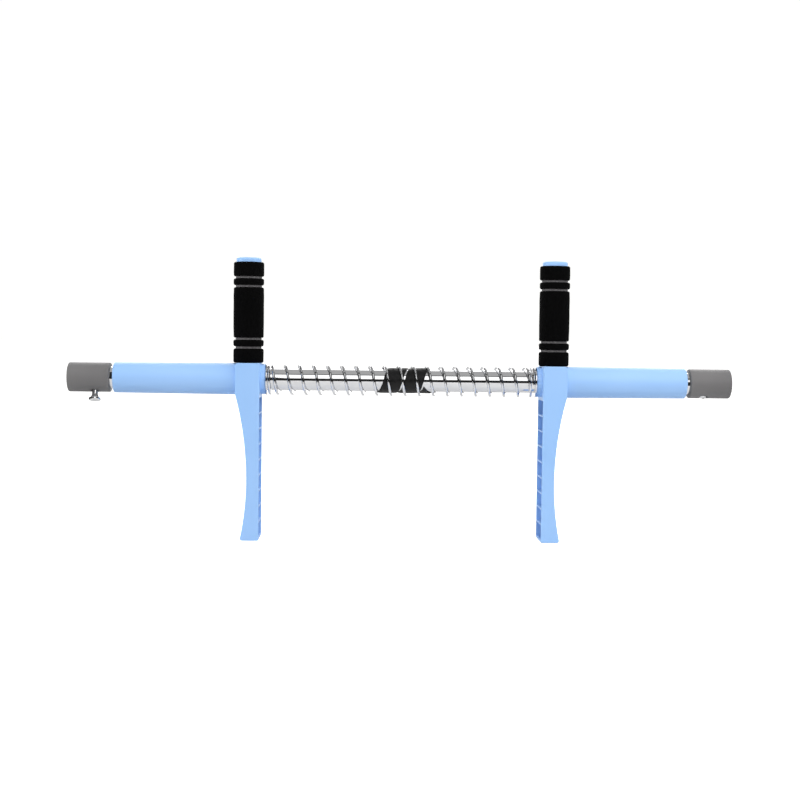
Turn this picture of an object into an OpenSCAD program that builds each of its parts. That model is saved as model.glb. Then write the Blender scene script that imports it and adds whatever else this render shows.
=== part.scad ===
// Spring press bar: two handled arms slide along a chromed tube and squeeze one long spring between them.
// X runs along the bar, Z points up through the foam grips and Y points to the back.
// The origin is on the floor, midway between the tips of the two arms.

/* [Bar] */
// Overall length over the two end caps
bar_length = 744; // [620:2:900]
// Outside diameter of the chromed tube
tube_od = 25; // [22:0.5:28]
// Wall thickness of the tube
tube_wall = 1.5; // [1:0.1:3]

/* [End caps] */
// Length of an end cap along the bar
cap_length = 46.5; // [40:0.5:60]
// Wall of an end cap round the tube
cap_wall = 4; // [3:0.25:6]
// Thickness of the closed end of a cap
cap_end_wall = 3; // [2:0.5:6]
// Rounding of a cap's edges
cap_round = 1.2; // [0.5:0.1:2]
// From a cap's inner edge to its locking screw
screw_inset = 16.5; // [12:0.5:24]
// Angle that the locking screws lean towards the front from straight down
screw_lean = 18; // [0:1:45]
// Diameter of the screw thread
screw_thread_d = 6; // [4:0.5:8]
// Outside diameter of the threaded insert and of its hole in the cap
insert_od = 10.5; // [9:0.5:13]
// How far the insert sits below the cap's surface
insert_recess = 1.3; // [0.5:0.1:2]
// Diameter of the thumb screw's round head
thumb_head_d = 13.5; // [11:0.5:20]
// Diameter of the thumb screw's neck
thumb_neck_d = 7.3; // [7:0.1:9]
// How far the thumb screw stands out of the cap
thumb_stand = 10.3; // [8:0.1:16]
// Diameter of the lock screw's domed head
lock_head_d = 9.4; // [8:0.1:12]
// Height of the lock screw's head
lock_head_h = 1.7; // [1.2:0.1:3]
// Width across the flats of the lock screw's key socket
socket_flats = 3; // [2:0.5:4]

/* [Spring] */
// Length of the spring at rest
spring_length = 300; // [240:2:360]
// Diameter of the spring wire
wire_d = 3; // [1.6:0.1:3.2]
// Radial clearance of the spring round the centre wrap
spring_clear = 0.4; // [0.4:0.1:3]
// Distance from one open coil to the next
coil_pitch = 15.9; // [10:0.1:22]
// Turns lying closed against each washer
closed_turns = 0.9; // [0.5:0.1:2]
// Thickness of the washer at each end of the spring
washer_t = 2; // [1:0.1:4]
// Radial clearance of a washer on the tube
washer_clear = 0.3; // [0.1:0.05:0.6]

/* [Centre wrap] */
// Thickness of the tape wound round the middle of the tube
wrap_t = 2; // [0.5:0.1:3]
// Width of the tape, measured along the bar
wrap_band = 21.6; // [12:0.2:30]
// Bare gap between one turn of tape and the next
wrap_gap = 2.2; // [1:0.2:8]
// Number of turns of tape
wrap_turns = 2.38; // [1.2:0.02:3]

/* [Press arms] */
// From the bar's axis down to the tip of an arm
arm_drop = 180; // [140:1:220]
// Depth of an arm from front to back
arm_depth = 45; // [42:1:60]
// Width of the hub along the bar
hub_width = 27; // [24:0.5:36]
// Height of the hub's flat top above the sleeve's widest part
hub_cover = 0.25; // [0.25:0.25:6]
// Width of the arm at its waist
waist_width = 14.1; // [10:0.1:18]
// Width of the arm at its tip
foot_width = 21.2; // [16:0.1:26]
// From the bar's axis down to the waist
waist_drop = 113; // [90:1:130]
// From the bar's axis down to where the hub starts to narrow
shoulder_drop = 16; // [12:0.5:24]
// Thickness of the arm's front and back walls
arm_wall = 2.3; // [1.5:0.1:4]
// Thickness of the arm's outer wall
arm_web = 3; // [2:0.1:5]
// Thickness of plastic between the bore and the ceiling of the ribbed channel
channel_roof = 5.8; // [4:0.1:12]
// Number of ribs across the channel
rib_count = 8; // [4:1:12]
// Thickness of a rib
rib_t = 1.6; // [1:0.1:3]
// Rounding of the hub's top corner and of the arm's outer tip
arm_round = 3; // [1:0.5:5]

/* [Sleeves] */
// Wall of a sleeve round its bushes, where it leaves the hub
sleeve_wall = 2.75; // [2:0.25:5]
// How much narrower a sleeve is at its outer end
sleeve_draft = 1.5; // [0:0.1:3]
// Bare tube left between a sleeve and its end cap
sleeve_gap = 4; // [2:0.5:12]
// Wall of the short collar on the hub's inner side
collar_wall = 2; // [1.5:0.1:4]
// Length of the collar
collar_length = 5.8; // [3:0.2:12]
// Wall of a bush
bush_wall = 2.5; // [1.5:0.1:4]
// Length of a bush
bush_length = 24; // [14:1:40]
// Radial running clearance of a bush or an end cap on the tube
run_clear = 0.06; // [0.02:0.01:0.1]

/* [Grips] */
// Length of the foam grip
grip_length = 112.5; // [100:0.5:140]
// Thickness of the black foam
foam_t = 2.5; // [2:0.1:6]
// Thickness of the grey foam that shows in the grooves
core_t = 2.5; // [1.5:0.1:5]
// Outside diameter of the post inside the grip
post_od = 24; // [20:0.5:29]
// Wall thickness of the post
post_wall = 2.5; // [2:0.1:4]
// Length of the foam bands at the two ends of a grip
end_band = 16; // [10:0.5:20]
// Length of the narrow foam bands
narrow_band = 7.5; // [5:0.5:12]
// Width of a groove
groove = 2.3; // [1.5:0.1:4]
// Rounding of the foam's edges
foam_round = 2; // [0.5:0.1:2.4]
// How far the grip's top cap overhangs the post
grip_cap_lip = 2; // [1:0.25:4]
// Height of the grip's top cap
grip_cap_h = 5; // [3:0.5:8]

/* [Hidden] */

$fn = 96;
eps = 0.5;                                        // how far a cut runs past a face
seat_play = 0.2;                                  // from a washer to the collar that pushes it
blue = "#a0c8fa";
grey = "#8c8c8e";
chrome = "#d8dadc";

tube_r = tube_od / 2;
cap_r = tube_r + cap_wall;
wrap_od = tube_od + 2 * wrap_t;
spring_od = wrap_od + 2 * (spring_clear + wire_d);
bush_od = tube_od + 2 * bush_wall;                // also the bore of the moulding
collar_od = bush_od + 2 * collar_wall;
sleeve_od = bush_od + 2 * sleeve_wall;
core_od = post_od + 2 * core_t;
grip_od = core_od + 2 * foam_t;
grip_cap_d = post_od + 2 * grip_cap_lip;
cap_in = bar_length / 2 - cap_length;             // inner edge of an end cap
tube_end = bar_length / 2 - cap_end_wall;
screw_x = cap_in + screw_inset;
insert_top = cap_r - insert_recess;               // distance of the insert's face from the bar's axis
screw_seat = tube_r + 0.02;                       // a screw's tip just meets the tube

seat_x = spring_length / 2;                       // where the spring meets a washer
collar_in = seat_x + washer_t + seat_play;
hub_in = collar_in + collar_length;
hub_out = hub_in + hub_width;
hub_top = sleeve_od / 2 + hub_cover;
channel_drop = bush_od / 2 + channel_roof;        // from the bar's axis to the channel's ceiling
sleeve_end = cap_in - sleeve_gap;
post_x = hub_in + hub_width / 2 + 0.5;            // the post stands half a millimetre outboard of centre
grip_top = hub_top + grip_length;
bush_recess = 1;                                  // a bush sits this far inside the moulding's end

waist_x = hub_in + waist_width;
shoulder_rise = waist_drop - shoulder_drop;
foot_fall = arm_drop - waist_drop;
// Radius of the arc that leaves the waist and has spread sideways by a, after a height of b
function flare_radius(a, b) = (a * a + b * b) / (2 * a);
shoulder_r = flare_radius(hub_width - waist_width, shoulder_rise);
foot_r = flare_radius(foot_width - waist_width, foot_fall);
channel_floor = arm_drop - arm_web;               // below the axis
rib_pitch = (channel_floor - channel_drop) / (rib_count + 1);

coil_r = (spring_od - wire_d) / 2;
coil_half = seat_x - wire_d / 2 - 0.05;           // centre of the wire at each end, just off the washer
closed_rise = closed_turns * wire_d * 1.03;
open_turns = 2 * (coil_half - closed_rise) / coil_pitch;
coil_turns = open_turns + 2 * closed_turns;
coil_steps = 18;                                  // rings of points in a turn
wire_sides = 6;
wrap_pitch = wrap_band + wrap_gap;
wrap_steps = 24;
// The flats of the wrap's inside clear the round tube
wrap_in_r = tube_r / cos(180 / wrap_steps);

// Put a part of the right-hand side at its height, or its mirror image on the left
module right_side() translate([0, 0, arm_drop]) children();
module left_side() translate([0, 0, arm_drop]) mirror([1, 0, 0]) children();
// Turn Z along the bar and start at x
module along_bar(x) translate([x, 0, 0]) rotate([0, 90, 0]) children();
// Turn Z outwards along a locking screw's axis
module along_screw() translate([screw_x, 0, 0]) rotate([180 - screw_lean, 0, 0]) children();

module tube(outer_d, inner_d, length) difference() {
  cylinder(d = outer_d, h = length);
  translate([0, 0, -eps]) cylinder(d = inner_d, h = length + 2 * eps);
}

// Ring of rectangular section with its outer edges rounded by r
module round_ring(outer_r, inner_r, length, r) rotate_extrude() difference() {
  translate([inner_r, 0]) square([outer_r - inner_r, length]);
  translate([outer_r, 0]) corner_cut(-1, 1, r);
  translate([outer_r, length]) corner_cut(-1, -1, r);
}

// What rounding takes off a square corner at the origin; sx and sy point into the body
module corner_cut(sx, sy, r) difference() {
  translate([min(0, sx * r), min(0, sy * r)]) square([r, r]);
  translate([sx * r, sy * r]) circle(r, $fn = 32);
}

// Join rings of points into one closed skin
function skin_faces(rings, sides) = concat(
  [for (i = [0 : rings - 2], j = [0 : sides - 1])
    [i * sides + j, i * sides + (j + 1) % sides, (i + 1) * sides + (j + 1) % sides, (i + 1) * sides + j]],
  [[for (j = [sides - 1 : -1 : 0]) j]],
  [[for (j = [0 : sides - 1]) (rings - 1) * sides + j]]
);

// A point at radius r and angle a round the bar, at x along it
function round_bar(x, r, a) = [x, r * cos(a), r * sin(a)];

// Place along the bar of the wire's centre after t turns
function coil_x(t) = -coil_half + (
  t < closed_turns ? t / closed_turns * closed_rise
  : t < closed_turns + open_turns ? closed_rise + (t - closed_turns) * coil_pitch
  : 2 * coil_half - (coil_turns - t) / closed_turns * closed_rise
);

module guide_tube() color(chrome)
  translate([0, 0, arm_drop]) along_bar(-tube_end) tube(tube_od, tube_od - 2 * tube_wall, 2 * tube_end);

// Tape wound the opposite way to the spring
module centre_wrap() color("#161618") translate([0, 0, arm_drop]) {
  rings = ceil(wrap_turns * wrap_steps) + 1;
  first = -0.6;
  polyhedron(
    points = [for (i = [0 : rings - 1])
      let (t = first + wrap_turns * i / (rings - 1), x = wrap_pitch * (t - 0.41), a = 180 - 360 * t)
      each [
        round_bar(x - wrap_band / 2, wrap_in_r, a), round_bar(x + wrap_band / 2, wrap_in_r, a),
        round_bar(x + wrap_band / 2, wrap_od / 2, a), round_bar(x - wrap_band / 2, wrap_od / 2, a)
      ]],
    faces = skin_faces(rings, 4)
  );
}

// Right-handed compression spring with its last turns laid against the washers
module compression_spring() color(chrome) translate([0, 0, arm_drop]) {
  rings = ceil(coil_turns * coil_steps) + 1;
  polyhedron(
    points = [for (i = [0 : rings - 1], j = [0 : wire_sides - 1])
      let (
        t = coil_turns * i / (rings - 1),
        a = 90 + 360 * (t - closed_turns + 0.022),
        b = 360 * (j + 0.5) / wire_sides
      )
      round_bar(coil_x(t) + wire_d / 2 * cos(b), coil_r + wire_d / 2 * sin(b), a)],
    faces = skin_faces(rings, wire_sides)
  );
}

// Closed plastic cap with a cross hole for the threaded insert
module end_cap() color(grey) difference() {
  along_bar(cap_in) round_ring(cap_r, 0, cap_length, cap_round);
  along_bar(cap_in - eps) cylinder(r = tube_r + run_clear, h = tube_end - cap_in + eps);
  along_screw() cylinder(d = insert_od, h = 2 * cap_r);
}

// Steel insert moulded into the cap's wall
module thread_insert() color(chrome) along_screw()
  translate([0, 0, tube_r + 0.3])
    tube(insert_od, screw_thread_d + 2 * run_clear, insert_top - tube_r - 0.3);

// Screw with a waisted neck that flares into a round head for the fingers
module thumb_screw() color(chrome) along_screw() rotate_extrude() {
  head_top = cap_r + thumb_stand;
  head_t = 2.6;
  flare = 3.4;
  neck_from = insert_top + 0.2;
  polygon([
    [0, screw_seat], [screw_thread_d / 2 - 0.8, screw_seat], [screw_thread_d / 2, screw_seat + 0.8],
    [screw_thread_d / 2, neck_from], [thumb_neck_d / 2, neck_from],
    [thumb_neck_d / 2, head_top - head_t - flare], [thumb_head_d / 2 - 0.4, head_top - head_t],
    [thumb_head_d / 2, head_top - head_t + 0.5], [thumb_head_d / 2, head_top - 0.8],
    [thumb_head_d / 2 - 0.8, head_top], [0, head_top]
  ]);
}

// Domed screw with a key socket, sunk in the cap's hole so that only the top of its head stands out
module lock_screw() color(chrome) along_screw() difference() {
  head_r = min(lock_head_d, insert_od - 0.8) / 2;
  head_from = insert_top + 0.05;
  dome = [for (a = [0 : 15 : 90]) [head_r * cos(a), head_from + lock_head_h * (0.3 + 0.7 * sin(a))]];
  rotate_extrude() polygon(concat(
    [
      [0, screw_seat], [screw_thread_d / 2 - 0.8, screw_seat], [screw_thread_d / 2, screw_seat + 0.8],
      [screw_thread_d / 2, head_from], [head_r, head_from]
    ],
    [for (p = dome) [max(0, p[0]), p[1]]]
  ));
  translate([0, 0, head_from + lock_head_h - 1.6]) cylinder(d = socket_flats / cos(30), h = 4, $fn = 6);
}

module spring_washer() color(chrome)
  along_bar(seat_x) tube(spring_od, tube_od + 2 * washer_clear, washer_t);

// Front view of the arm and hub, x outboard and y up, pulled in by w at the outer side
module arm_outline(w) difference() {
  translate([hub_in, -arm_drop]) square([hub_width - w, arm_drop + hub_top]);
  intersection() {
    translate([waist_x + shoulder_r, -waist_drop]) circle(shoulder_r + w, $fn = 360);
    translate([hub_in, -waist_drop]) square([2 * shoulder_r, waist_drop]);
  }
  intersection() {
    translate([waist_x + foot_r, -waist_drop]) circle(foot_r + w, $fn = 360);
    translate([hub_in, -waist_drop - foot_r]) square([2 * foot_r, foot_r]);
  }
}

// Flat hub and arm, front to back, before it is hollowed
module arm_block() rotate([90, 0, 0]) linear_extrude(arm_depth, center = true) difference() {
  arm_outline(0);
  translate([hub_out, hub_top]) corner_cut(-1, -1, arm_round);
  translate([hub_in + foot_width, -arm_drop]) corner_cut(-1, 1, arm_round);
  translate([hub_in, -arm_drop]) corner_cut(1, 1, arm_wall / 2);
}

// Channel open to the inner side, with level ribs across it
module arm_channel() difference() {
  rotate([90, 0, 0]) linear_extrude(arm_depth - 2 * arm_wall, center = true) intersection() {
    translate([-arm_web, 0]) arm_outline(0);
    translate([hub_in - arm_web - eps, -channel_floor])
      square([hub_width, channel_floor - channel_drop]);
  }
  for (i = [1 : rib_count])
    translate([hub_in - hub_width, -arm_depth / 2, -channel_drop - i * rib_pitch - rib_t / 2])
      cube([2 * hub_width, arm_depth, rib_t]);
}

// Drafted sleeve round the tube, from the collar to the outer end
module sleeve() along_bar(0) rotate_extrude() difference() {
  polygon([
    [0, collar_in], [collar_od / 2, collar_in], [collar_od / 2, hub_in], [sleeve_od / 2, hub_in],
    [sleeve_od / 2, hub_out], [(sleeve_od - sleeve_draft) / 2, sleeve_end], [0, sleeve_end]
  ]);
  translate([(sleeve_od - sleeve_draft) / 2, sleeve_end]) corner_cut(-1, -1, 1);
  translate([collar_od / 2, collar_in]) corner_cut(-1, 1, 0.6);
}

// One moulding: sleeve, collar, hub, ribbed arm and the hollow post for the grip
module press_arm() color(blue) difference() {
  union() {
    difference() {
      arm_block();
      arm_channel();
    }
    sleeve();
    translate([post_x, 0, hub_top - eps]) cylinder(d = post_od, h = grip_length + eps);
  }
  along_bar(collar_in - eps) cylinder(d = bush_od, h = sleeve_end - collar_in + 2 * eps);
  translate([post_x, 0, hub_top + post_wall])
    cylinder(d = post_od - 2 * post_wall, h = grip_length);
}

module bush(from) color("#e8e6e0")
  along_bar(from) tube(bush_od, tube_od + 2 * run_clear, bush_length);

// Grey foam tube on the post; it shows only in the grooves
module grip_core() color("#55555a")
  translate([post_x, 0, hub_top]) tube(core_od, post_od, grip_length);

// Black foam bands round the grey core
module grip_foam() color("#0e0d0e") translate([post_x, 0, hub_top]) {
  main_band = grip_length - 2 * end_band - 2 * narrow_band - 4 * groove;
  low = end_band + groove;
  middle = low + narrow_band + groove;
  high = middle + main_band + groove;
  for (band = [
    [0, end_band], [low, narrow_band], [middle, main_band], [high, narrow_band],
    [high + narrow_band + groove, end_band]
  ])
    translate([0, 0, band[0]]) round_ring(grip_od / 2, core_od / 2, band[1], foam_round);
}

// Cap pressed into the post, which keeps the foam on
module grip_cap() color(blue) translate([post_x, 0, grip_top]) {
  plug_clear = 0.05;
  plug_length = 14;
  rotate_extrude() difference() {
    union() {
      square([grip_cap_d / 2, grip_cap_h]);
      translate([0, -plug_length]) square([post_od / 2 - post_wall - plug_clear, plug_length + eps]);
    }
    translate([grip_cap_d / 2, grip_cap_h]) corner_cut(-1, -1, 2.2);
  }
}

guide_tube();
centre_wrap();
compression_spring();
left_side() end_cap();  // left_end_cap
right_side() end_cap();  // right_end_cap
left_side() thread_insert();  // left_thread_insert
right_side() thread_insert();  // right_thread_insert
left_side() thumb_screw();  // left_thumb_screw
right_side() lock_screw();  // right_lock_screw
left_side() spring_washer();  // left_spring_washer
right_side() spring_washer();  // right_spring_washer
left_side() press_arm();  // left_press_arm
right_side() press_arm();  // right_press_arm
left_side() bush(collar_in + bush_recess);  // left_inner_bush
right_side() bush(collar_in + bush_recess);  // right_inner_bush
left_side() bush(sleeve_end - bush_recess - bush_length);  // left_outer_bush
right_side() bush(sleeve_end - bush_recess - bush_length);  // right_outer_bush
left_side() grip_core();  // left_grip_core
right_side() grip_core();  // right_grip_core
left_side() grip_foam();  // left_grip_foam
right_side() grip_foam();  // right_grip_foam
left_side() grip_cap();  // left_grip_cap
right_side() grip_cap();  // right_grip_cap
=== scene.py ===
# %% [markdown]
# # A spring press bar
#
# The object is an exerciser that is pushed together by hand: two moulded arms ride on a chromed tube
# and squeeze one long coil spring between them. The engineering model gives every piece its place. This
# lesson gives the pieces their finish, and makes again those whose edges, windings or foam deserve more
# than a plain solid.

# %% Load the frame
import math

import bmesh
import bpy
from mathutils import Matrix, Vector, noise


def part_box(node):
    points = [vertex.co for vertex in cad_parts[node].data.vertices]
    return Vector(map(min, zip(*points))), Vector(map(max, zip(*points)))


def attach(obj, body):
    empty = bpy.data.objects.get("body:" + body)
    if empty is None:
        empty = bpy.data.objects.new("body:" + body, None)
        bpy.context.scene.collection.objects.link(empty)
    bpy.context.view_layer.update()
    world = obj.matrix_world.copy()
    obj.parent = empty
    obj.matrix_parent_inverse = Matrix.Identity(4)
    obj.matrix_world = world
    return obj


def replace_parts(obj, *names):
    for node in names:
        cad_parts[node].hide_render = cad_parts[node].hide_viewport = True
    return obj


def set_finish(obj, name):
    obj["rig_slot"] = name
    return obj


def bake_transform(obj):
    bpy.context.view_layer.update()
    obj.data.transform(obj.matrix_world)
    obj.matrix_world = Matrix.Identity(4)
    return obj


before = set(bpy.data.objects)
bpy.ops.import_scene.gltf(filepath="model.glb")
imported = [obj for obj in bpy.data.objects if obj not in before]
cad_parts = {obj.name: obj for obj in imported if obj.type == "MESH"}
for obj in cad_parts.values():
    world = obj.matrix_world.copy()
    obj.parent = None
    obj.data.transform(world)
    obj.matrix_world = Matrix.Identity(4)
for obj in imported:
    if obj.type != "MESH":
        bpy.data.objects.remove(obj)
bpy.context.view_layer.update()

MM = 0.001
UP, ALONG, BACK = Vector((0, 0, 1)), Vector((1, 0, 0)), Vector((0, 1, 0))

# %% [markdown]
# ## Where things are
#
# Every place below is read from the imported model, so nothing has to be fitted by eye. The bar's axis is
# in the middle of the tube, the arms reach from the washers to the ends of their sleeves, and the foam
# shows where the hub stops and where the grip ends.

# %% Places read from the frame
tube_low, tube_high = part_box("guide_tube")
AXIS_Z, TUBE_R, TUBE_X = (tube_low.z + tube_high.z) / 2, (tube_high.z - tube_low.z) / 2, tube_high.x
washer_low, washer_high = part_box("right_spring_washer")
SEAT_X, WASHER_R = washer_low.x, washer_high.y
arm_low, arm_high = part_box("right_press_arm")
COLLAR_X, SLEEVE_X, HALF_DEPTH = arm_low.x, arm_high.x, arm_high.y
BUSH_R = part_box("right_outer_bush")[1].y
core_low, core_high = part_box("right_grip_core")
POST_X, CORE_R = (core_low.x + core_high.x) / 2, core_high.y
foam_low, foam_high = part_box("right_grip_foam")
FOAM_R, HUB_TOP, GRIP_TOP = foam_high.y, foam_low.z, foam_high.z
cap_low, cap_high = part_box("right_end_cap")
CAP_R = (cap_high.z - cap_low.z) / 2
AXIS = Vector((0, 0, AXIS_Z))
print(f"axis {AXIS_Z:.4f} m up, tube radius {TUBE_R:.4f}, hub top {HUB_TOP:.4f}, grip top {GRIP_TOP:.4f}")

# %% [markdown]
# ## Building materials from noise
#
# Each finish is a small node tree over a Principled shader. Object coordinates keep a pattern fixed to
# its piece, in metres, so a scale of 2000 means features of about half a millimetre. Three things are
# worth varying on almost any real surface: its colour a little, its gloss a little, and its height a
# very little.

# %% Material helpers
def finish(name, colour, roughness, **sockets):
    """A material whose fixed values sit on the shader's own sockets, and its node tree."""
    material = bpy.data.materials.new(name)
    material.use_nodes = True
    shader = material.node_tree.nodes["Principled BSDF"]
    shader.inputs["Base Color"].default_value = (*colour, 1)
    shader.inputs["Roughness"].default_value = roughness
    for socket, value in sockets.items():
        shader.inputs[socket.replace("_", " ")].default_value = value
    material.diffuse_color = (*colour, 1)
    return material, material.node_tree, shader


def place(tree, stretch=(1, 1, 1)):
    """Object coordinates, stretched."""
    coordinates = tree.nodes.new("ShaderNodeTexCoord")
    mapping = tree.nodes.new("ShaderNodeMapping")
    mapping.inputs["Scale"].default_value = stretch
    tree.links.new(coordinates.outputs["Object"], mapping.inputs["Vector"])
    return mapping.outputs["Vector"]


def grain(tree, vector, scale, detail=3, rough=0.5):
    node = tree.nodes.new("ShaderNodeTexNoise")
    node.inputs["Scale"].default_value = scale
    node.inputs["Detail"].default_value = detail
    node.inputs["Roughness"].default_value = rough
    tree.links.new(vector, node.inputs["Vector"])
    return node.outputs["Fac"]


def cells(tree, vector, scale, randomness=1.0):
    node = tree.nodes.new("ShaderNodeTexVoronoi")
    node.inputs["Scale"].default_value = scale
    node.inputs["Randomness"].default_value = randomness
    tree.links.new(vector, node.inputs["Vector"])
    return node.outputs["Distance"]


def ramp(tree, value, low, high, start=0.3, end=0.7):
    """Turn a 0 to 1 pattern into numbers or colours between low and high."""
    if isinstance(low, (int, float)):
        node = tree.nodes.new("ShaderNodeMapRange")
        for socket, number in zip(("From Min", "From Max", "To Min", "To Max"), (start, end, low, high)):
            node.inputs[socket].default_value = number
        tree.links.new(value, node.inputs["Value"])
        return node.outputs["Result"]
    node = tree.nodes.new("ShaderNodeValToRGB")
    node.color_ramp.elements[0].position, node.color_ramp.elements[1].position = start, end
    node.color_ramp.elements[0].color, node.color_ramp.elements[1].color = (*low, 1), (*high, 1)
    tree.links.new(value, node.inputs["Fac"])
    return node.outputs["Color"]


def bump(tree, shader, *layers):
    """Stack height patterns, each (value, distance in metres, strength), into one normal."""
    normal = None
    for value, distance, strength in layers:
        node = tree.nodes.new("ShaderNodeBump")
        node.inputs["Distance"].default_value = distance
        node.inputs["Strength"].default_value = strength
        tree.links.new(value, node.inputs["Height"])
        if normal is not None:
            tree.links.new(normal, node.inputs["Normal"])
        normal = node.outputs["Normal"]
    tree.links.new(normal, shader.inputs["Normal"])

# %% [markdown]
# ## Chrome
#
# The tube, the spring and the washers are plated steel. Bright chrome is almost a mirror, so nearly all
# of its look is the room around it. What makes it read as metal and not as glass is slight unevenness:
# faint drawing marks along the tube, and patches where hands and packing have dulled the plate.

# %% Chrome finishes
def chrome(name, drawn, gloss=0.02, dull=0.07):
    """Plated steel with drawing marks; drawn stretches them, long where the number is small."""
    material, tree, shader = finish(name, (0.86, 0.865, 0.875), gloss, Metallic=1.0)
    marks = grain(tree, place(tree, drawn), 1800, 4, 0.6)
    smudge = grain(tree, place(tree), 55, 3)
    tree.links.new(ramp(tree, smudge, gloss, dull, 0.35, 0.75), shader.inputs["Roughness"])
    tint = ramp(tree, smudge, (0.83, 0.835, 0.85), (0.89, 0.89, 0.895))
    tree.links.new(tint, shader.inputs["Base Color"])
    bump(tree, shader, (smudge, 0.0004, 0.05), (marks, 0.00002, 0.25))
    return material


TUBE_CHROME = chrome("tube_chrome", (0.02, 1, 1))
SPRING_CHROME = chrome("spring_chrome", (1, 1, 1), 0.02, 0.07)
WASHER_CHROME = chrome("washer_chrome", (1, 0.4, 0.4), 0.07, 0.16)
SCREW_STEEL = chrome("turned_steel", (1, 1, 1), 0.09, 0.2)
print("chrome finishes", TUBE_CHROME.name, SPRING_CHROME.name, WASHER_CHROME.name, SCREW_STEEL.name)

# %% [markdown]
# ## Moulded plastics
#
# The arms come from a satin mould: a soft sheen with a fine spark-eroded grain, and broad, hardly
# visible waves where thick places sink as they cool. The end caps are a duller grey with a coarser
# grain. The bushes are bare acetal, a little waxy.

# %% Plastic finishes
def moulded(name, low, high, roughness, grain_size, grain_depth):
    """Plastic from a textured mould, between two near colours."""
    material, tree, shader = finish(name, low, roughness, IOR=1.48)
    where = place(tree)
    tone = grain(tree, where, 14, 2)
    tree.links.new(ramp(tree, tone, low, high), shader.inputs["Base Color"])
    flow = grain(tree, place(tree, (1, 1, 0.35)), 90, 3)
    tree.links.new(ramp(tree, flow, roughness - 0.05, roughness + 0.06), shader.inputs["Roughness"])
    spark = grain(tree, where, 1 / grain_size, 3, 0.65)
    bump(tree, shader, (tone, 0.002, 0.06), (spark, grain_depth, 0.35))
    return material


BLUE = moulded("satin_blue", (0.315, 0.540, 0.905), (0.338, 0.562, 0.925), 0.36, 0.00045, 0.00003)
GREY = moulded("cap_grey", (0.142, 0.138, 0.141), (0.190, 0.186, 0.186), 0.44, 0.0007, 0.00008)
ACETAL = moulded("bare_acetal", (0.72, 0.70, 0.65), (0.76, 0.74, 0.69), 0.4, 0.0006, 0.00002)
print("plastics", BLUE.name, GREY.name, ACETAL.name)

# %% [markdown]
# ## Foam and tape
#
# The grips are closed-cell foam rubber. It is almost black, scatters light like cloth at its edges, and
# its cut surface is pitted by burst cells a few tenths of a millimetre wide. The tape is a satin cloth
# tape: a fine weave, pulled into faint ridges along its length where it was stretched round the tube.

# %% Foam and tape finishes
def foam(name, low, high, sheen):
    material, tree, shader = finish(name, low, 0.92, Sheen_Weight=sheen, Sheen_Roughness=0.6)
    shader.inputs["Specular IOR Level"].default_value = 0.06
    where = place(tree)
    pits = cells(tree, where, 1500)
    mottle = grain(tree, where, 420, 5, 0.7)
    tree.links.new(ramp(tree, mottle, low, high, 0.35, 0.7), shader.inputs["Base Color"])
    tree.links.new(ramp(tree, mottle, 0.82, 0.98), shader.inputs["Roughness"])
    bump(tree, shader, (mottle, 0.0003, 0.35), (ramp(tree, pits, 0, 1, 0.05, 0.6), 0.00025, 0.6))
    return material


BLACK_FOAM = foam("black_grip_foam", (0.0008, 0.0008, 0.0009), (0.003, 0.0029, 0.003), 0.004)
# The core's grey is a painted highlight: it stands for the light that the smooth skin at the bottom of each
# foam groove catches.
GROOVE_HIGHLIGHT_FOAM = foam("core_foam_groove_highlight", (0.10, 0.095, 0.10), (0.16, 0.155, 0.16), 0.03)

TAPE, tree, shader = finish("cloth_tape", (0.003, 0.003, 0.003), 0.42)
shader.inputs["Specular IOR Level"].default_value = 0.35
threads = tree.nodes.new("ShaderNodeTexWave")
threads.bands_direction = "X"
threads.inputs["Scale"].default_value = 420
threads.inputs["Distortion"].default_value = 1.2
tree.links.new(place(tree), threads.inputs["Vector"])
creases = grain(tree, place(tree, (1, 0.25, 0.25)), 260, 4, 0.6)
worn = ramp(tree, creases, (0.0015, 0.0015, 0.0016), (0.006, 0.0057, 0.006))
tree.links.new(worn, shader.inputs["Base Color"])
tree.links.new(ramp(tree, creases, 0.3, 0.55), shader.inputs["Roughness"])
bump(tree, shader, (creases, 0.0008, 0.5), (threads.outputs["Fac"], 0.00012, 0.3))
print("soft finishes", BLACK_FOAM.name, GROOVE_HIGHLIGHT_FOAM.name, TAPE.name)

# %% [markdown]
# ## Turning pieces on a lathe
#
# Most pieces here are round: washers, bushes, foam bands, screws and caps. Each is drawn as half of its
# section, as a turner would. Its corners are rounded while the drawing is still flat, and the outline
# is then spun a full turn. Rounding the flat drawing is exact and cheap, where rounding the finished
# solid would touch every facet.

# %% The lathe
def new_piece(name, bm, material, body, slot, sharp_angle=35, clean=True):
    """Make an object of a bmesh, smooth it up to an angle, finish it and hang it on its body."""
    if clean:
        bmesh.ops.remove_doubles(bm, verts=bm.verts, dist=1e-6)
        bmesh.ops.recalc_face_normals(bm, faces=bm.faces)
    mesh = bpy.data.meshes.new(name)
    bm.to_mesh(mesh)
    bm.free()
    mesh.shade_smooth()
    mesh.set_sharp_from_angle(angle=math.radians(sharp_angle))
    mesh.materials.append(material)
    piece = bpy.data.objects.new(name, mesh)
    bpy.context.scene.collection.objects.link(piece)
    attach(piece, body)
    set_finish(piece, slot)
    even = piece.modifiers.new("even_shading", "WEIGHTED_NORMAL")
    even.keep_sharp = True
    print(f"{name}: {len(mesh.polygons)} faces on {body}")
    return piece


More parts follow.
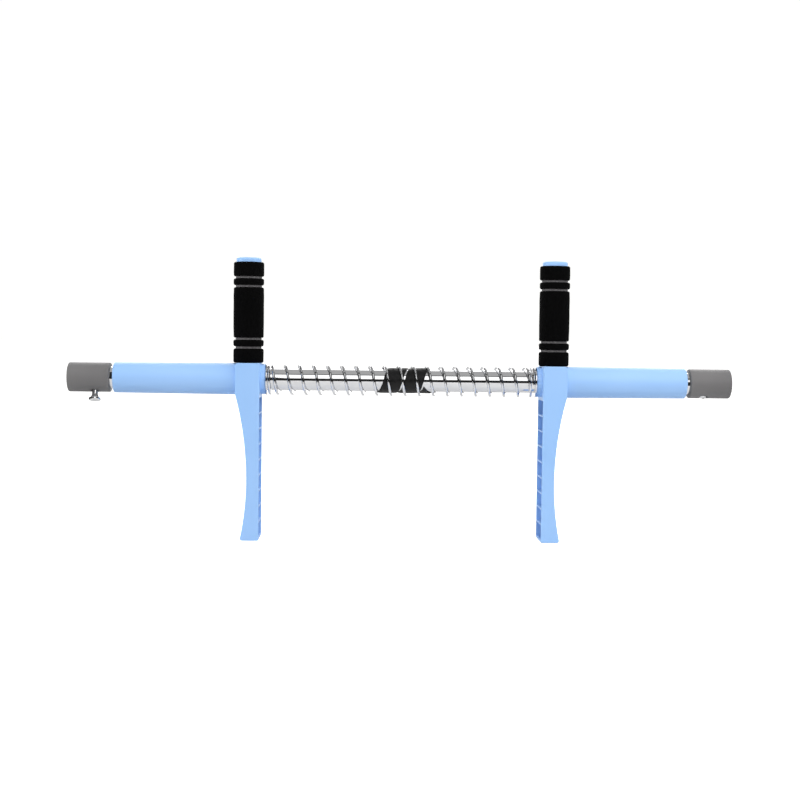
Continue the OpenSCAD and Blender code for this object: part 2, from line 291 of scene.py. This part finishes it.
def turn(bm, outline, rounds, centre, axis, steps=96):
    """Spin a section, drawn as (along, radius) corners, about an axis. rounds is {corner number: radius}."""
    out = ALONG.copy() if abs(axis.z) > 0.9 else UP - axis * UP.dot(axis)
    out.normalize()
    sketch = bmesh.new()
    corners = [sketch.verts.new(centre + axis * a + out * r) for a, r in outline]
    sketch.faces.new(corners)
    for number, radius in rounds.items():
        bmesh.ops.bevel(sketch, geom=[corners[number]], offset=radius, offset_type="OFFSET", segments=5,
                        profile=0.5, affect="VERTICES", material=-1)
    section = sketch.faces[:]
    bmesh.ops.delete(sketch, geom=section, context="FACES_ONLY")
    on_axis = [e for e in sketch.edges
               if all((v.co - centre).cross(axis).length < 1e-7 for v in e.verts)]
    bmesh.ops.delete(sketch, geom=on_axis, context="EDGES")
    bmesh.ops.spin(sketch, geom=sketch.edges[:] + sketch.verts[:], cent=centre, axis=axis,
                   dvec=(0, 0, 0), angle=2 * math.pi, steps=steps, use_merge=True, use_duplicate=False)
    bmesh.ops.remove_doubles(sketch, verts=sketch.verts, dist=1e-7)
    bmesh.ops.recalc_face_normals(sketch, faces=sketch.faces)
    turned = bpy.data.meshes.new("turned")
    sketch.to_mesh(turned)
    sketch.free()
    bm.from_mesh(turned)
    bpy.data.meshes.remove(turned)


def ring(bm, start, end, inner_r, outer_r, rounding, centre=AXIS, axis=ALONG, steps=96):
    """A turned ring whose two outer edges are rounded."""
    turn(bm, [(start, inner_r), (start, outer_r), (end, outer_r), (end, inner_r)],
         {1: rounding, 2: rounding}, centre, axis, steps)


def mirrored(piece, name, body):
    """The same piece for the left side, turned inside out once so that its faces point outwards again."""
    bm = bmesh.new()
    bm.from_mesh(piece.data)
    bmesh.ops.scale(bm, vec=(-1, 1, 1), verts=bm.verts)
    bmesh.ops.reverse_faces(bm, faces=bm.faces)
    return new_piece(name, bm, piece.data.materials[0], body, piece["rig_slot"], clean=False)

# %% [markdown]
# ## The guide tube and its washers
#
# The tube is drawn steel, and its reflections run dead straight along it, so it needs many facets round
# and none lengthwise. The washers are thick, with edges broken by tumbling, which is the bright line
# round each of them.

# %% Tube and washers
bm = bmesh.new()
WALL, BROKEN_EDGE, WASHER_CLEAR, TUMBLED_EDGE = 1.5 * MM, 0.4 * MM, 0.3 * MM, 0.6 * MM
turn(bm, [(-TUBE_X, TUBE_R - WALL), (-TUBE_X, TUBE_R), (TUBE_X, TUBE_R), (TUBE_X, TUBE_R - WALL)],
     {1: BROKEN_EDGE, 2: BROKEN_EDGE}, AXIS, ALONG, 160)
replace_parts(new_piece("tube", bm, TUBE_CHROME, "bar", "chrome"), "guide_tube")

bm = bmesh.new()
ring(bm, SEAT_X, washer_high.x, TUBE_R + WASHER_CLEAR, WASHER_R, TUMBLED_EDGE)
washer = new_piece("right_washer", bm, WASHER_CHROME, "right_seat", "chrome")
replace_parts(washer, "right_spring_washer")
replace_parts(mirrored(washer, "left_washer", "left_seat"), "left_spring_washer")

# %% [markdown]
# ## The spring
#
# A coil is a spin that also travels: the wire's round section turns about the bar and moves a little
# along it at each step. The last three quarters of a turn at each end travel only about the wire's own
# thickness, so that they lie close to the washer, and a short stretch eases from one pitch to the
# other.

# %% Spring sizes
WIRE_R = 1.5 * MM
COIL_R = WASHER_R - WIRE_R
WIRE_END = SEAT_X - WIRE_R
CLOSED_TURNS, EASE_TURNS, PITCH = 0.75, 0.3, 15.9 * MM
# Closed turns lie 3% more than a wire apart, so that they never quite touch
CLOSED_RISE = CLOSED_TURNS * 2 * WIRE_R * 1.03
EASE_RISE = EASE_TURNS * PITCH / 2
OPEN_TURNS = (WIRE_END - CLOSED_RISE - EASE_RISE) / PITCH
HALF_TURNS = CLOSED_TURNS + EASE_TURNS + OPEN_TURNS
# Turns from the left end of the wire to where it first crosses the top
FIRST_TOP = 0.91
STEPS_PER_TURN, WIRE_SIDES = 44, 14
print(f"spring: {2 * HALF_TURNS:.2f} turns, {OPEN_TURNS * 2:.2f} of them open")

# %% Wind one half
def wind(stretches, start_x, start_turn):
    """Spin a wire section along (turns, travel) stretches; also gives each section's place along X."""
    bm = bmesh.new()
    bmesh.ops.create_circle(bm, cap_ends=True, segments=WIRE_SIDES, radius=WIRE_R)
    stand = Matrix.Rotation(math.radians(90), 4, "X")
    bmesh.ops.transform(bm, matrix=Matrix.Translation((start_x, 0, COIL_R)) @ stand, verts=bm.verts)
    start = Matrix.Rotation(2 * math.pi * start_turn, 3, "X")
    bmesh.ops.rotate(bm, cent=(0, 0, 0), matrix=start, verts=bm.verts)
    bmesh.ops.translate(bm, vec=AXIS, verts=bm.verts)
    geometry = bm.faces[:] + bm.edges[:] + bm.verts[:]
    centres = [start_x]
    for turns, travel in stretches:
        steps = max(2, round(abs(turns) * STEPS_PER_TURN))
        spun = bmesh.ops.spin(bm, geom=geometry, cent=AXIS, axis=ALONG, dvec=(travel / steps, 0, 0),
                              angle=2 * math.pi * turns, steps=steps, use_merge=False, use_duplicate=False)
        geometry = spun["geom_last"]
        first = centres[-1]
        centres += [first + travel * (i + 1) / steps for i in range(steps)]
    return bm, centres


closed, ease = (CLOSED_TURNS, CLOSED_RISE), (EASE_TURNS, EASE_RISE)
opened = (OPEN_TURNS, OPEN_TURNS * PITCH)
halves = {
    "left": ([closed, ease, opened], -WIRE_END, -FIRST_TOP),
    "right": ([opened, ease, closed], 0.0, HALF_TURNS - FIRST_TOP),
}
for side, (stretches, start_x, start_turn) in halves.items():
    bm, centres = wind(stretches, start_x, start_turn)
    bm.verts.index_update()
    coil = new_piece(f"{side}_spring", bm, SPRING_CHROME, "bar", "chrome", 50, clean=False)
    coil.parent = None
    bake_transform(coil)
    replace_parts(coil, "compression_spring")
    off = max(abs(v.co.x - centres[v.index // WIRE_SIDES]) for v in coil.data.vertices)
    print(f"{side} half: {len(centres)} wire sections, each within {off / MM:.2f} mm of its centre along X")

# %% [markdown]
# ## The press arm
#
# An arm is one moulding: a flat hub, a blade that narrows to a waist and spreads again towards its tip,
# and a long sleeve over the tube. It is hollow on the side that faces the spring, and level ribs cross
# the hollow. A blade like this is best drawn as one flat outline. Its two long curves are arcs that
# start together at the waist, so a single point is spun up to the shoulder and down to the tip. The
# outline is then pushed through to its full depth.

# %% Arm sizes
HUB_IN, HUB_WIDTH = COLLAR_X + 5.8 * MM, 27 * MM
WAIST_X, WAIST_DROP, SHOULDER_DROP = HUB_IN + 14.1 * MM, 113 * MM, 16 * MM
FOOT_X, ROOF_DROP, WEB = HUB_IN + 21.2 * MM, 20.8 * MM, 3 * MM
RIBS, RIB_T, ARM_WALL = 8, 1.6 * MM, 2.3 * MM
HUB_OUT, WAIST_Z = HUB_IN + HUB_WIDTH, AXIS_Z - WAIST_DROP
COLLAR_WALL, SLEEVE_WALL, SLEEVE_END_WALL = 2 * MM, 2.75 * MM, 2 * MM
POST_R, POST_BORE_R = 12 * MM, 9.5 * MM


def flare_radius(spread, height):
    """Radius of an arc that leaves upright and has spread sideways at a height."""
    return (spread ** 2 + height ** 2) / (2 * spread)


SHOULDER_R = flare_radius(HUB_OUT - WAIST_X, WAIST_DROP - SHOULDER_DROP)
FOOT_R = flare_radius(FOOT_X - WAIST_X, WAIST_Z)
print(f"waist {(WAIST_X - HUB_IN) / MM:.1f} mm wide, arcs of {SHOULDER_R:.3f} and {FOOT_R:.3f} m")

# %% Draw the outline and push it through
def arm_blade():
    """The solid blade and hub of the right arm, its edges softened."""
    bm = bmesh.new()
    waist = bm.verts.new((WAIST_X, -HALF_DEPTH, WAIST_Z))
    for radius, height in ((SHOULDER_R, WAIST_DROP - SHOULDER_DROP), (-FOOT_R, WAIST_Z)):
        bmesh.ops.spin(bm, geom=[waist], cent=(WAIST_X + abs(radius), 0, WAIST_Z), axis=BACK, dvec=(0, 0, 0),
                       angle=math.asin(height / radius), steps=20, use_merge=False, use_duplicate=False)
    curve = sorted(bm.verts, key=lambda v: -v.co.z)
    top_in = bm.verts.new((HUB_IN, -HALF_DEPTH, HUB_TOP))
    top_out = bm.verts.new((HUB_OUT, -HALF_DEPTH, HUB_TOP))
    tip_in = bm.verts.new((HUB_IN, -HALF_DEPTH, 0))
    bm.faces.new([top_in, top_out, *curve, tip_in])
    for corner, radius in ((top_out, 3), (curve[-1], 3), (top_in, 1), (tip_in, 1.2)):
        bmesh.ops.bevel(bm, geom=[corner], offset=radius * MM, offset_type="OFFSET", segments=5, profile=0.5,
                        affect="VERTICES", material=-1)
    pushed = bmesh.ops.extrude_face_region(bm, geom=bm.faces[:], use_keep_orig=True)
    moved = [g for g in pushed["geom"] if isinstance(g, bmesh.types.BMVert)]
    bmesh.ops.translate(bm, vec=(0, 2 * HALF_DEPTH, 0), verts=moved)
    bmesh.ops.recalc_face_normals(bm, faces=bm.faces)
    rims = [e for e in bm.edges if abs(abs(e.verts[0].co.y) - HALF_DEPTH) < 1e-6
            and abs(e.verts[0].co.y - e.verts[1].co.y) < 1e-6]
    bmesh.ops.bevel(bm, geom=rims, offset=1.6 * MM, offset_type="OFFSET", segments=4, profile=0.5,
                    affect="EDGES", material=-1, clamp_overlap=True)
    return bm


# %% [markdown]
# The hollow is cut as a row of pockets. The flat inner face is sliced into cells where the pockets are,
# and each cell is pushed in until it meets the outer wall, which it follows. What is left between two
# cells is a rib. The bore is a circle drawn in the hub's two faces, filled round and bridged through.

# %% Pockets, ribs and bore
def outer_x(z):
    """The blade's outer edge at a height."""
    down = WAIST_Z - z
    radius = SHOULDER_R if down < 0 else FOOT_R
    return min(HUB_OUT, WAIST_X + radius - math.sqrt(radius ** 2 - down ** 2))


def facing(bm, x, sign):
    bm.normal_update()
    return [f for f in bm.faces if abs(f.calc_center_median().x - x) < 1e-5 and f.normal.x * sign > 0.99]


def slice_faces(bm, faces, point, normal):
    geometry = set(faces) | {e for f in faces for e in f.edges} | {v for f in faces for v in f.verts}
    bmesh.ops.bisect_plane(bm, geom=list(geometry), dist=1e-7, plane_co=point, plane_no=normal)


def cut_pockets(bm):
    roof, floor = AXIS_Z - ROOF_DROP, WEB
    pitch = (roof - floor) / (RIBS + 1)
    slice_faces(bm, facing(bm, HUB_IN, -1), (0, 0, roof), UP)
    slice_faces(bm, facing(bm, HUB_IN, -1), (0, 0, floor), UP)
    for side in (-1, 1):
        middle = [f for f in facing(bm, HUB_IN, -1) if floor < f.calc_center_median().z < roof]
        slice_faces(bm, middle, (0, side * (HALF_DEPTH - ARM_WALL), 0), BACK)
    levels = [roof - i * pitch + side * RIB_T / 2 for i in range(1, RIBS + 1) for side in (1, -1)]

    def cell(face):
        c = face.calc_center_median()
        return floor < c.z < roof and abs(c.y) < HALF_DEPTH - ARM_WALL - 0.5 * MM
    for level in levels:
        slice_faces(bm, [f for f in facing(bm, HUB_IN, -1) if cell(f)], (0, 0, level), UP)
    ribs = [roof - i * pitch for i in range(1, RIBS + 1)]
    pockets = [f for f in facing(bm, HUB_IN, -1)
               if cell(f) and all(abs(f.calc_center_median().z - r) > RIB_T for r in ribs)]
    pushed = bmesh.ops.extrude_discrete_faces(bm, faces=pockets)["faces"]
    for vert in {v for f in pushed for v in f.verts}:
        vert.co.x = outer_x(vert.co.z) - WEB
    mouths = [e for e in bm.edges if all(abs(v.co.x - HUB_IN) < 1e-6 for v in e.verts)
              and any(abs(f.normal.x) < 0.5 for f in e.link_faces)
              and all(abs(v.co.y) < HALF_DEPTH - ARM_WALL + 1e-5 for v in e.verts)]
    bmesh.ops.bevel(bm, geom=mouths, offset=0.35 * MM, offset_type="OFFSET", segments=2, profile=0.5,
                    affect="EDGES", material=-1, clamp_overlap=True)
    return len(pockets)


def bore_hub(bm, radius):
    """Drill the hub along the bar."""
    circles = []
    for x, sign in ((HUB_IN, -1), (HUB_OUT, 1)):
        wall = [f for f in facing(bm, x, sign) if abs(f.calc_center_median().z - AXIS_Z) < 12 * MM]
        face = max(wall, key=lambda f: f.calc_area())
        around = list(face.edges)
        bmesh.ops.delete(bm, geom=[face], context="FACES_ONLY")
        turn_up = Matrix.Translation((x, 0, AXIS_Z)) @ Matrix.Rotation(math.radians(90), 4, "Y")
        circle = bmesh.ops.create_circle(bm, segments=64, radius=radius, matrix=turn_up)["verts"]
        rim = list({e for v in circle for e in v.link_edges})
        bmesh.ops.triangle_fill(bm, edges=around + rim, use_beauty=True)
        circles += rim
    bmesh.ops.bridge_loops(bm, edges=circles)


bm = arm_blade()
print("pockets", cut_pockets(bm))
bore_hub(bm, BUSH_R - 0.2 * MM)
collar_r, sleeve_r, sleeve_end_r = (BUSH_R + wall for wall in (COLLAR_WALL, SLEEVE_WALL, SLEEVE_END_WALL))
turn(bm, [(COLLAR_X, BUSH_R), (COLLAR_X, collar_r), (HUB_IN + MM, collar_r), (HUB_IN + MM, sleeve_r),
          (HUB_OUT, sleeve_r), (SLEEVE_X, sleeve_end_r), (SLEEVE_X, BUSH_R)],
     {1: 0.8 * MM, 5: 1.2 * MM, 6: 0.3 * MM}, AXIS, ALONG, 128)
post_foot = HUB_TOP - 1 * MM
turn(bm, [(post_foot, POST_BORE_R), (post_foot, POST_R), (GRIP_TOP, POST_R), (GRIP_TOP, POST_BORE_R)],
     {}, Vector((POST_X, 0, 0)), UP, 64)
right_arm = new_piece("right_arm", bm, BLUE, "right_carriage", "blue_plastic", clean=False)
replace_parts(right_arm, "right_press_arm")
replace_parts(mirrored(right_arm, "left_arm", "left_carriage"), "left_press_arm")

# %% [markdown]
# ## Foam grips
#
# A grip is a thin foam tube with five bands of black foam over it. The tube is painted grey as the
# highlight that the smooth skin at the bottom of each groove catches. Foam is cut on a lathe too, but
# it does not hold a sharp edge: each band is drawn with a full round and a slight belly. A little noise
# then pushes the skin in and out by a few hundredths of a millimetre, as on any soft thing that has
# been handled.

# %% Foam bands
END_BAND, NARROW_BAND, GROOVE = 16 * MM, 7.5 * MM, 2.3 * MM
MAIN_BAND = (GRIP_TOP - HUB_TOP) - 2 * END_BAND - 2 * NARROW_BAND - 4 * GROOVE


def foam_bands():
    bm = bmesh.new()
    low = HUB_TOP
    for length in (END_BAND, NARROW_BAND, MAIN_BAND, NARROW_BAND, END_BAND):
        parts = max(4, round(length / (2 * MM)))
        belly = 0.25 * MM
        skin = [(low + length * i / parts, FOAM_R - belly + belly * math.sin(math.pi * i / parts) ** 0.5)
                for i in range(parts + 1)]
        outline = [(low, CORE_R + 0.02 * MM), *skin, (low + length, CORE_R + 0.02 * MM)]
        turn(bm, outline, {1: 1.7 * MM, parts + 1: 1.7 * MM}, Vector((POST_X, 0, 0)), UP, 96)
        low += length + GROOVE
    for vert in bm.verts:
        out = Vector((vert.co.x - POST_X, vert.co.y, 0))
        if out.length > CORE_R + 0.3 * MM:
            handled = noise.noise(vert.co * 130) * 0.16 + noise.noise(vert.co * 420) * 0.07
            vert.co += out.normalized() * handled * MM
    return bm


right_foam = new_piece("right_foam", foam_bands(), BLACK_FOAM, "right_carriage", "black_foam")
left_foam = mirrored(right_foam, "left_foam", "left_carriage")
for piece, node in ((right_foam, "right_grip_foam"), (left_foam, "left_grip_foam")):
    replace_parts(piece, node)

# %% [markdown]
# ## Screws
#
# The left end cap is held by a thumb screw: a slim neck that flares into a round head for two fingers.
# The right one has a domed screw with a hexagon socket, sunk in its hole, which keeps its engineering
# shape. The thumb screw is a turned part, drawn along its own leaning axis.

# %% Thumb screw
LEAN = math.radians(18)
DOWN_FRONT = Vector((0, -math.sin(LEAN), -math.cos(LEAN)))
screw_low, screw_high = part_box("left_thumb_screw")
SCREW_X = -(screw_low.x + screw_high.x) / 2
HEAD_STAND, NECK_SUNK, THREAD_R, HEAD_R = 10.3 * MM, 1.1 * MM, 3 * MM, 6.75 * MM
HEAD_TOP = CAP_R + HEAD_STAND
NECK_FROM = CAP_R - NECK_SUNK
print(f"thumb screw reaches {AXIS_Z - screw_low.z:.4f} m below the axis")

bm = bmesh.new()
SCREW_TIP = TUBE_R + 0.02 * MM
turn(bm, [(SCREW_TIP, 0), (SCREW_TIP, 2.2 * MM), (SCREW_TIP + 0.8 * MM, THREAD_R), (NECK_FROM, THREAD_R),
          (NECK_FROM, 3.65 * MM), (HEAD_TOP - 6.4 * MM, 3.4 * MM), (HEAD_TOP - 4 * MM, 4.6 * MM),
          (HEAD_TOP - 2.6 * MM, 6.3 * MM), (HEAD_TOP - 2.2 * MM, HEAD_R), (HEAD_TOP, HEAD_R),
          (HEAD_TOP - 0.3 * MM, 0)],
     {5: 1.2 * MM, 6: 0.8 * MM, 7: 0.3 * MM, 9: 0.9 * MM}, AXIS - ALONG * SCREW_X, DOWN_FRONT, 72)
thumb_screw = new_piece("thumb_screw_turned", bm, SCREW_STEEL, "thumb_screw", "screw_steel")
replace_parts(thumb_screw, "left_thumb_screw")

# %% [markdown]
# ## The tape
#
# The middle of the tube is wound with tape, so that the spring does not rattle on it. A strip is laid
# out flat, its tail cut on the slant, and every point is then rolled round the tube along the winding.
# Noise lifts the edges and ripples the face, and the tape gets its thickness last, from solidify.

# %% Wind the tape
TAPE_WIDTH, TAPE_PITCH, TAPE_T = 21.6 * MM, 23.8 * MM, 1.8 * MM
HEAD, TAIL, TAIL_SLANT = -0.6, 1.757, 0.16
ACROSS, LENGTHWAYS = 18, 260


def roll(strip_point):
    """Where a point of the strip lands: x runs from -1 to 1 across it, y from 0 to 1 along it."""
    across, along = strip_point.x, strip_point.y
    turns = HEAD + (TAIL - HEAD) * along - across * TAIL_SLANT * along ** 5
    frayed = 1 + 0.035 * noise.noise((turns * 9, across * 0.7, 3.1))
    frayed += 0.02 * noise.noise((turns * 31, across, 7.7))
    x = TAPE_PITCH * (turns - 0.41) + across * frayed * TAPE_WIDTH / 2
    ripple = noise.noise((turns * 16 + across * 1.6, across * 2.2, 0.4)) * 0.24 * MM
    ripple += noise.noise((turns * 48 + across * 3, across * 3, 5.5)) * 0.12 * MM
    lift = TUBE_R + TAPE_T + ripple - 0.45 * MM * abs(across) ** 6
    angle = math.pi - 2 * math.pi * turns
    return Vector((x, lift * math.cos(angle), AXIS_Z + lift * math.sin(angle)))


bm = bmesh.new()
bmesh.ops.create_grid(bm, x_segments=ACROSS, y_segments=LENGTHWAYS, size=1)
for vert in bm.verts:
    vert.co = roll(Vector((vert.co.x, (vert.co.y + 1) / 2, 0)))
bmesh.ops.recalc_face_normals(bm, faces=bm.faces)
bm.faces.ensure_lookup_table()
first_face = bm.faces[0]
middle = first_face.calc_center_median()
outward = first_face.normal.dot(middle - AXIS - ALONG * middle.x) > 0
bmesh.ops.solidify(bm, geom=bm.faces[:], thickness=(TAPE_T - 0.25 * MM) * (1 if outward else -1))
tape = new_piece("tape", bm, TAPE, "bar", "black_tape", 60)
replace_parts(tape, "centre_wrap")

# %% [markdown]
# ## Finishes for the pieces that stay
#
# Plain moulded and turned pieces whose engineering shape is already right only need a finish: the end
# caps, the grip tops, the bushes, the foam tubes (grey as a painted groove highlight), the inserts and
# the lock screw.

# %% Paint the remaining nodes
FINISHES = {
    "guide_tube": TUBE_CHROME, "centre_wrap": TAPE, "compression_spring": SPRING_CHROME,
    "end_cap": GREY, "thread_insert": SCREW_STEEL, "thumb_screw": SCREW_STEEL, "lock_screw": SCREW_STEEL,
    "spring_washer": WASHER_CHROME, "press_arm": BLUE, "inner_bush": ACETAL, "outer_bush": ACETAL,
    # The grip core's grey is the painted highlight in the foam grooves
    "grip_core": GROOVE_HIGHLIGHT_FOAM, "grip_foam": BLACK_FOAM, "grip_cap": BLUE,
}
for name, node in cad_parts.items():
    material = FINISHES[name.removeprefix("left_").removeprefix("right_")]
    node.data.materials.clear()
    node.data.materials.append(material)
print(f"{len(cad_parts)} nodes finished")

# %% [markdown]
# ## Floor, light and camera
#
# A white floor and a bright, even room suit a pale object, but chrome needs something to mirror. One
# softbox high in front draws the bright line along the tube, and a dark card behind the camera gives
# the thin black line that tells the eye the metal is polished. The dark cards are seen by reflections
# only.

# %% Floor and room
def flat_card(name, size, turn_by, position, colour, glow=0.0):
    """A plane of the stage: (width, height), tilted about X or Z in degrees, with a matt finish."""
    bm = bmesh.new()
    bmesh.ops.create_grid(bm, x_segments=2, y_segments=2, size=0.5)
    bmesh.ops.scale(bm, vec=(*size, 1), verts=bm.verts)
    for degrees, about in zip(turn_by, "XZ"):
        tilt = Matrix.Rotation(math.radians(degrees), 3, about)
        bmesh.ops.rotate(bm, cent=(0, 0, 0), matrix=tilt, verts=bm.verts)
    bmesh.ops.translate(bm, vec=position, verts=bm.verts)
    mesh = bpy.data.meshes.new(name)
    bm.to_mesh(mesh)
    bm.free()
    card = bpy.data.objects.new(name, mesh)
    bpy.context.scene.collection.objects.link(card)
    material, tree, shader = finish(name + "_paint", colour, 0.9)
    shader.inputs["Emission Color"].default_value = (*colour, 1)
    shader.inputs["Emission Strength"].default_value = glow
    tone = grain(tree, place(tree), 5, 2)
    darker = tuple(c * 0.98 for c in colour)
    tree.links.new(ramp(tree, tone, darker, colour), shader.inputs["Base Color"])
    card.data.materials.append(material)
    return card


floor = flat_card("floor", (60, 60), (0, 0), (0, 0, 0), (0.95, 0.95, 0.94), 0.93)
floor.visible_glossy = floor.visible_diffuse = False
bounce = flat_card("floor_bounce", (12, 6.8), (0, 0), (0, 2.62, -0.002), (0.68, 0.68, 0.68), 0.31)
bounce.visible_camera = False

ROOM_LIGHT, BACKDROP_LIGHT = 0.42, 1.02
world = bpy.data.worlds.new("room")
bpy.context.scene.world = world
world.use_nodes = True
tree = world.node_tree
tree.nodes.clear()
paths = tree.nodes.new("ShaderNodeLightPath")
room, backdrop = tree.nodes.new("ShaderNodeBackground"), tree.nodes.new("ShaderNodeBackground")
mix, out = tree.nodes.new("ShaderNodeMixShader"), tree.nodes.new("ShaderNodeOutputWorld")
room.inputs["Color"].default_value = (1, 1, 1, 1)
room.inputs["Strength"].default_value = ROOM_LIGHT
backdrop.inputs["Color"].default_value = (1, 1, 0.985, 1)
backdrop.inputs["Strength"].default_value = BACKDROP_LIGHT
tree.links.new(paths.outputs["Is Camera Ray"], mix.inputs["Fac"])
tree.links.new(room.outputs["Background"], mix.inputs[1])
tree.links.new(backdrop.outputs["Background"], mix.inputs[2])
tree.links.new(mix.outputs["Shader"], out.inputs["Surface"])

# %% Softboxes and dark cards
def softbox(name, position, size, power, mirrored_by_gloss=True):
    """An area light aimed at the middle of the bar."""
    data = bpy.data.lights.new(name, "AREA")
    data.shape = "RECTANGLE"
    data.size, data.size_y = size
    data.energy = power
    light = bpy.data.objects.new(name, data)
    light.location = position
    light.rotation_euler = (AXIS - Vector(position)).to_track_quat("-Z", "Y").to_euler()
    light.visible_glossy = mirrored_by_gloss
    bpy.context.scene.collection.objects.link(light)
    return light


softbox("key", (0.3, -2.1, AXIS_Z + 1.25), (1.3, 1.7), 7.5)
softbox("front_fill", (1.3, -2.2, AXIS_Z + 0.9), (2.4, 1.6), 5, False)
softbox("left_fill", (-2.4, -0.35, AXIS_Z + 0.3), (1.4, 1.4), 42, False)
softbox("right_fill", (2.5, -1.1, AXIS_Z + 0.4), (1.4, 1.4), 18, False)
softbox("top", (0.4, -0.3, AXIS_Z + 2.4), (3.0, 1.6), 14, False)
softbox("near_top", (0.4, -0.55, AXIS_Z + 0.75), (2.2, 0.4), 6, False)
softbox("back", (0, 2.2, AXIS_Z + 1.6), (3.0, 1.0), 12)

DARK = (0.01, 0.01, 0.01)
front_card = flat_card("front_card", (9, 1.35), (90, 0), (0, -2.8, 0.3), DARK)
line_card = flat_card("line_card", (7, 0.3), (36, 0), (0, -1.43, AXIS_Z + 1.93), DARK)
side_cards = [flat_card(f"side_card_{n}", (3.6, 2.2), (90, 90), (x, 0.5, 1.1), DARK)
              for n, x in enumerate((-1.75, 1.75))]
key_cards = [flat_card(f"key_card_{n}", (1.5, 3.6), (90, 0), (x, -2.3, 1.6), DARK)
             for n, x in enumerate((-1.4, 1.6))]
wings = [flat_card(f"floor_wing_{n}", (1.3, 4.0), (0, 0), (x, 0.95, -0.001), DARK)
         for n, x in enumerate((-1.1, 1.1))]
back_wall = flat_card("back_wall", (9, 5), (90, 0), (0, 3, 2.3), (1, 1, 1), 0.9)
for card in (front_card, line_card, back_wall, *side_cards, *key_cards, *wings):
    card.visible_camera = card.visible_diffuse = card.visible_shadow = False

# %% Camera
camera_data = bpy.data.cameras.new("camera")
camera_data.lens = 59.9
camera_data.sensor_width = 36
camera = bpy.data.objects.new("camera", camera_data)
YAW, PITCH_DOWN, ROLL = math.radians(1.64), math.radians(2.8), math.radians(0.7)
turned = Matrix.Rotation(-YAW, 4, "Z") @ Matrix.Rotation(math.radians(90) - PITCH_DOWN, 4, "X")
stand = Matrix.Translation((-0.0441, -1.5, AXIS_Z + 0.0513))
camera.matrix_world = stand @ turned @ Matrix.Rotation(ROLL, 4, "Z")
bpy.context.scene.collection.objects.link(camera)
bpy.context.scene.camera = camera
bpy.context.scene.view_settings.view_transform = "Standard"
print("camera at", tuple(round(c, 4) for c in camera.matrix_world.translation))
